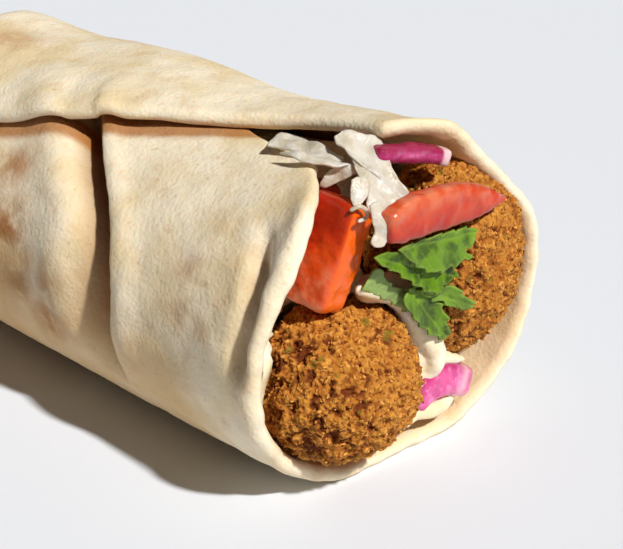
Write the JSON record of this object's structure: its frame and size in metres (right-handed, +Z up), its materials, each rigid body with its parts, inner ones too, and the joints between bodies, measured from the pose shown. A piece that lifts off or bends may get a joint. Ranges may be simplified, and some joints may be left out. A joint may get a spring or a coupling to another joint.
{
  "type": "falafel wrap",
  "caption": "Flatbread rolled round falafel balls, tomato, onion, pickle, parsley and sauce, open at one end and pressed flat at the other, lying on its side.",
  "frame": {"origin": "centre of the bounding box at its bottom, on the surface that the wrap lies on", "axes": "+X along the wrap, out of its open mouth; +Z up; the flap's free edge shows from -Y"},
  "size_m": [0.2042, 0.088, 0.0751],
  "materials": {
    "flatbread": "matte baked dough with toasted spots",
    "tahini_sauce": "thick cream sauce",
    "falafel": "rough fried crumb",
    "tomato": "wet cut tomato",
    "pickle": "wet pink pickle",
    "onion": "wet pale onion",
    "parsley": "fresh green leaf"
  },
  "bodies": {
    "root": {"flatbread": "flatbread", "tahini_sauce": "tahini_sauce", "falafel_front": "falafel", "falafel_back": "falafel", "tomato_front": "tomato", "tomato_dark": "tomato", "tomato_back": "tomato", "pickle_stick": "pickle", "pickle_chunk": "pickle", "onion_1": "onion", "onion_2": "onion", "onion_3": "onion", "parsley": "parsley"}
  },
  "joints": []
}
